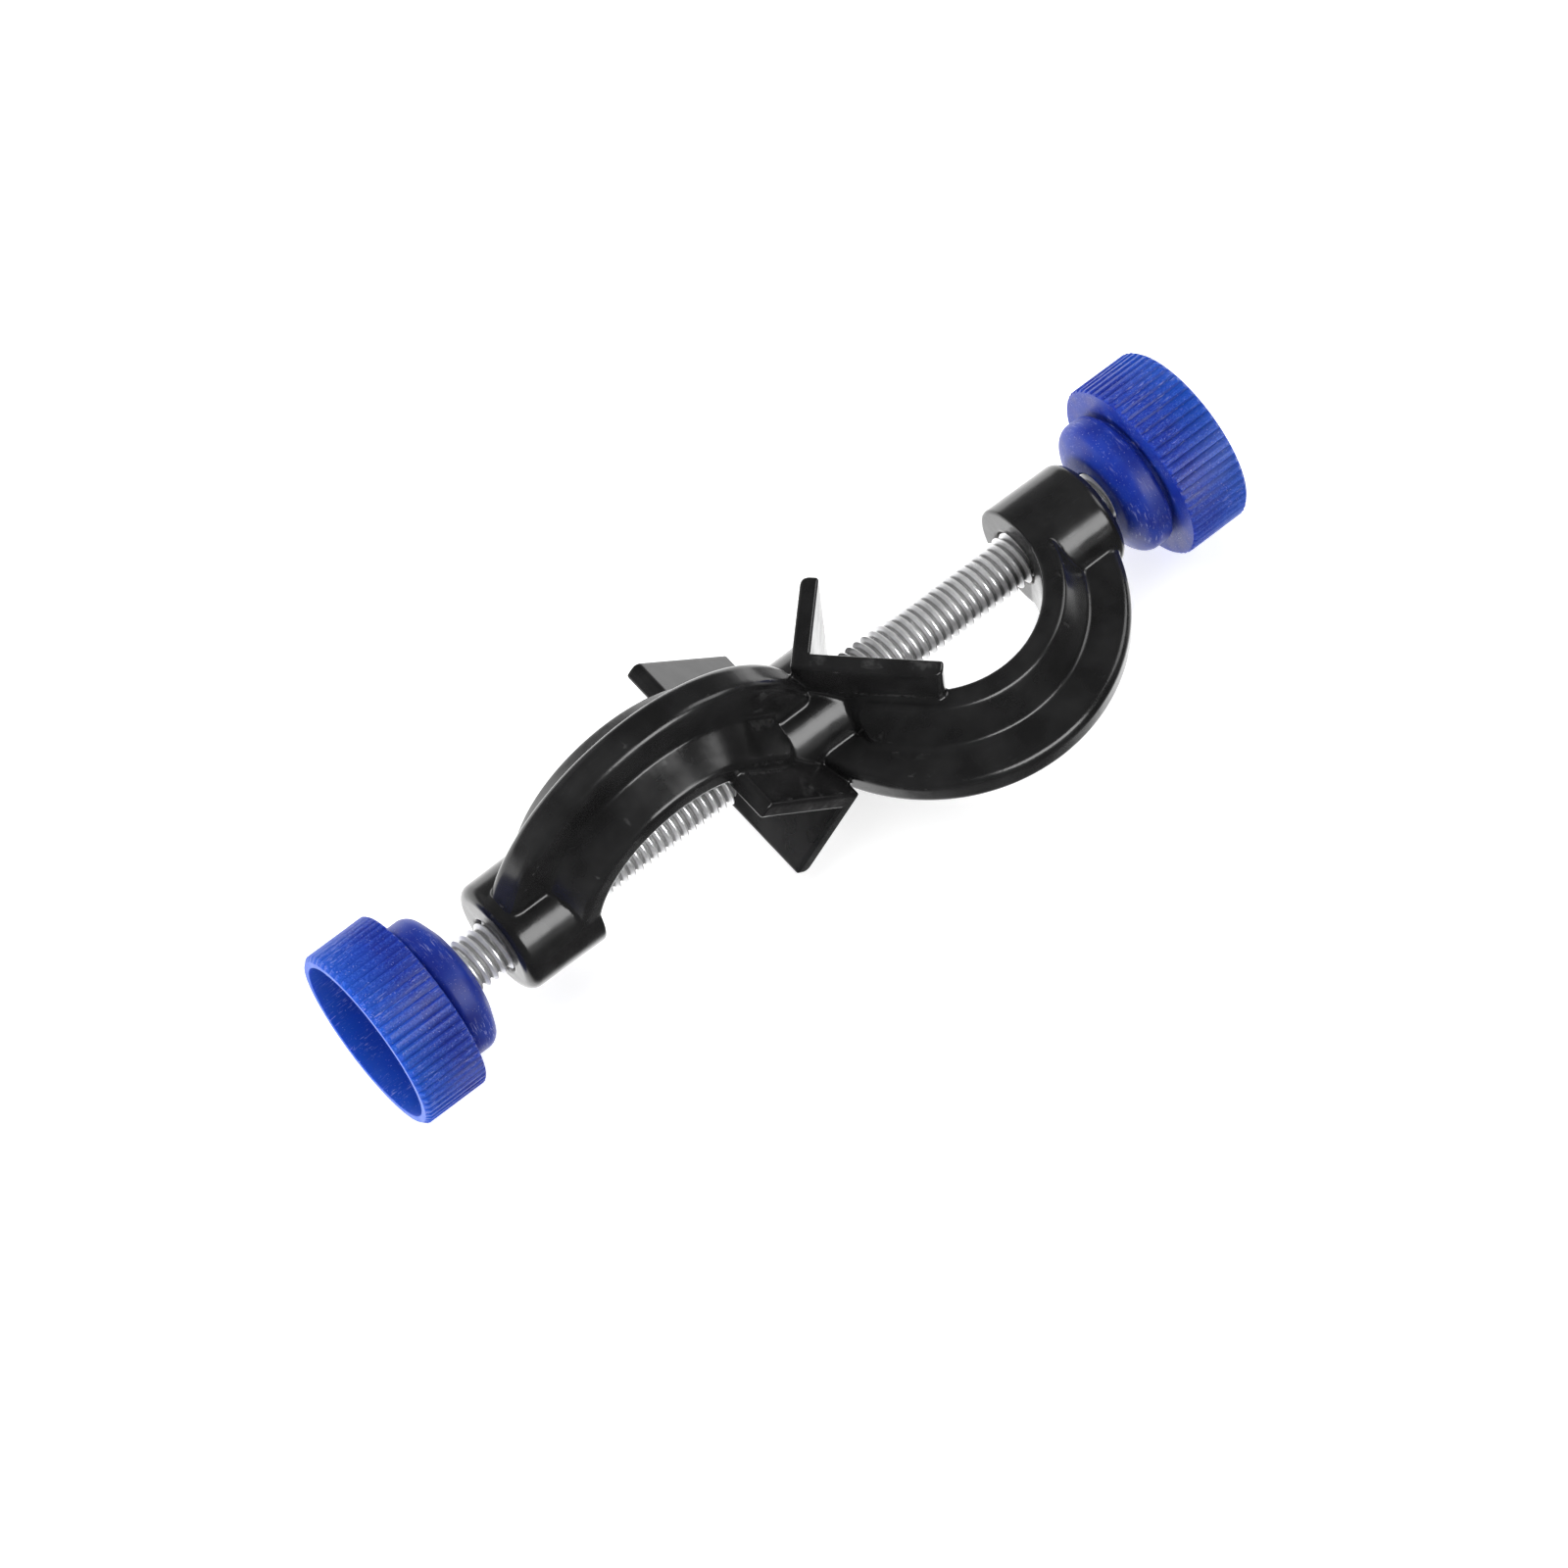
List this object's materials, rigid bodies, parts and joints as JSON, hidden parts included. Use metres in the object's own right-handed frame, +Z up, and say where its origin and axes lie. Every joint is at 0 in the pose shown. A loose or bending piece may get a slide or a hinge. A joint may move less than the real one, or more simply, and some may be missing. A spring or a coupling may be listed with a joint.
{
  "type": "retort stand clamp",
  "caption": "Right-angle clamp for laboratory stands: a cast body whose crossed C jaws and V seats hold a rod and a bar, each tightened by a thumbscrew with a ribbed knob.",
  "frame": {"origin": "centre of the bounding box, at its bottom, with the screws as they stand in the picture", "axes": "+X along both screws towards the right knob, -Y towards the right jaw's spine, +Z up towards the left jaw's spine"},
  "size_m": [0.11, 0.032, 0.032],
  "materials": {
    "black_enamel": "gloss black enamel paint on a rough casting",
    "plated_steel": "bright zinc plate on a rolled thread",
    "blue_plastic": "moulded royal blue plastic, semi gloss"
  },
  "bodies": {
    "clamp_body": {"clamp_body": "black_enamel"},
    "right_screw": {"right_screw": "plated_steel"},
    "right_knob": {"right_knob": "blue_plastic"},
    "left_screw": {"left_screw": "plated_steel"},
    "left_knob": {"left_knob": "blue_plastic"}
  },
  "joints": [
    {"name": "right_screw_advance", "type": "slide", "parent": "clamp_body", "child": "right_screw", "axis": [-1, 0, 0], "range_m": [-0.02351, 0.00101]},
    {"name": "right_knob_turn", "type": "hinge", "parent": "right_screw", "child": "right_knob", "pos_m": [0.03644, 0.0049, 0.0111], "axis": [-1, 0, 0], "range_deg": [-8460, 360]},
    {"name": "left_screw_advance", "type": "slide", "parent": "clamp_body", "child": "left_screw", "axis": [1, 0, 0], "range_m": [-0.02041, 0.00401]},
    {"name": "left_knob_turn", "type": "hinge", "parent": "left_screw", "child": "left_knob", "pos_m": [-0.03334, 0.0049, 0.0111], "axis": [1, 0, 0], "range_deg": [-7344, 1440]}
  ],
  "couplings": [
    {"joint": "right_screw_advance", "follows": "right_knob_turn", "m_per_rad": 0.00015915},
    {"joint": "left_screw_advance", "follows": "left_knob_turn", "m_per_rad": 0.00015915}
  ]
}
